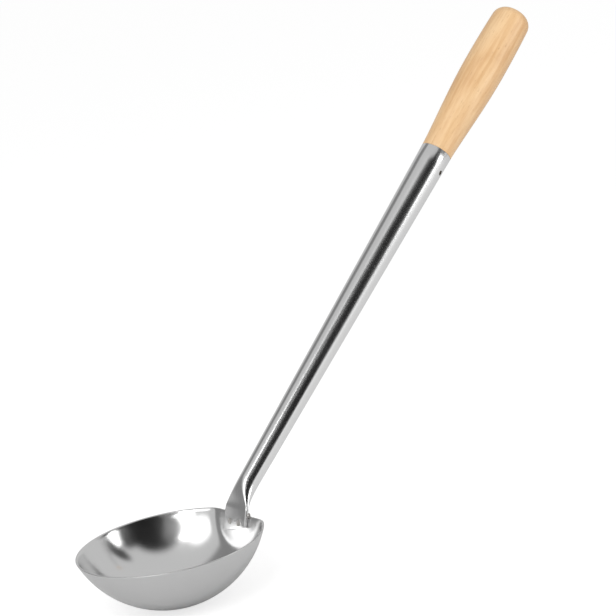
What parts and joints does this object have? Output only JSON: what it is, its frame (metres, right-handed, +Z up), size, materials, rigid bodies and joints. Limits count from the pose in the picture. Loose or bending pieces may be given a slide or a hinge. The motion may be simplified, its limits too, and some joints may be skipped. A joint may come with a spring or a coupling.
{
  "type": "soup ladle",
  "caption": "Long soup ladle with a round pressed steel bowl, a tapered steel tube handle welded inside the rim and a turned wood grip.",
  "frame": {"origin": "lowest point of the bowl's outside, on the bowl's axis", "axes": "+Z up along the bowl's axis, square to the rim; +X towards the handle, which rises in the XZ plane"},
  "size_m": [0.392, 0.115, 0.2948],
  "materials": {
    "bowl_steel": "polished inside, satin outside",
    "tube_steel": "polished",
    "wood": "turned beech, clear lacquer",
    "nail_steel": "dull, darkened",
    "weld_metal": "ground weld"
  },
  "bodies": {
    "root": {"bowl": "bowl_steel", "handle_tube": "tube_steel", "wood_grip": "wood", "grip_nail": "nail_steel", "spot_welds": "weld_metal", "rim_welds": "weld_metal"}
  },
  "joints": []
}
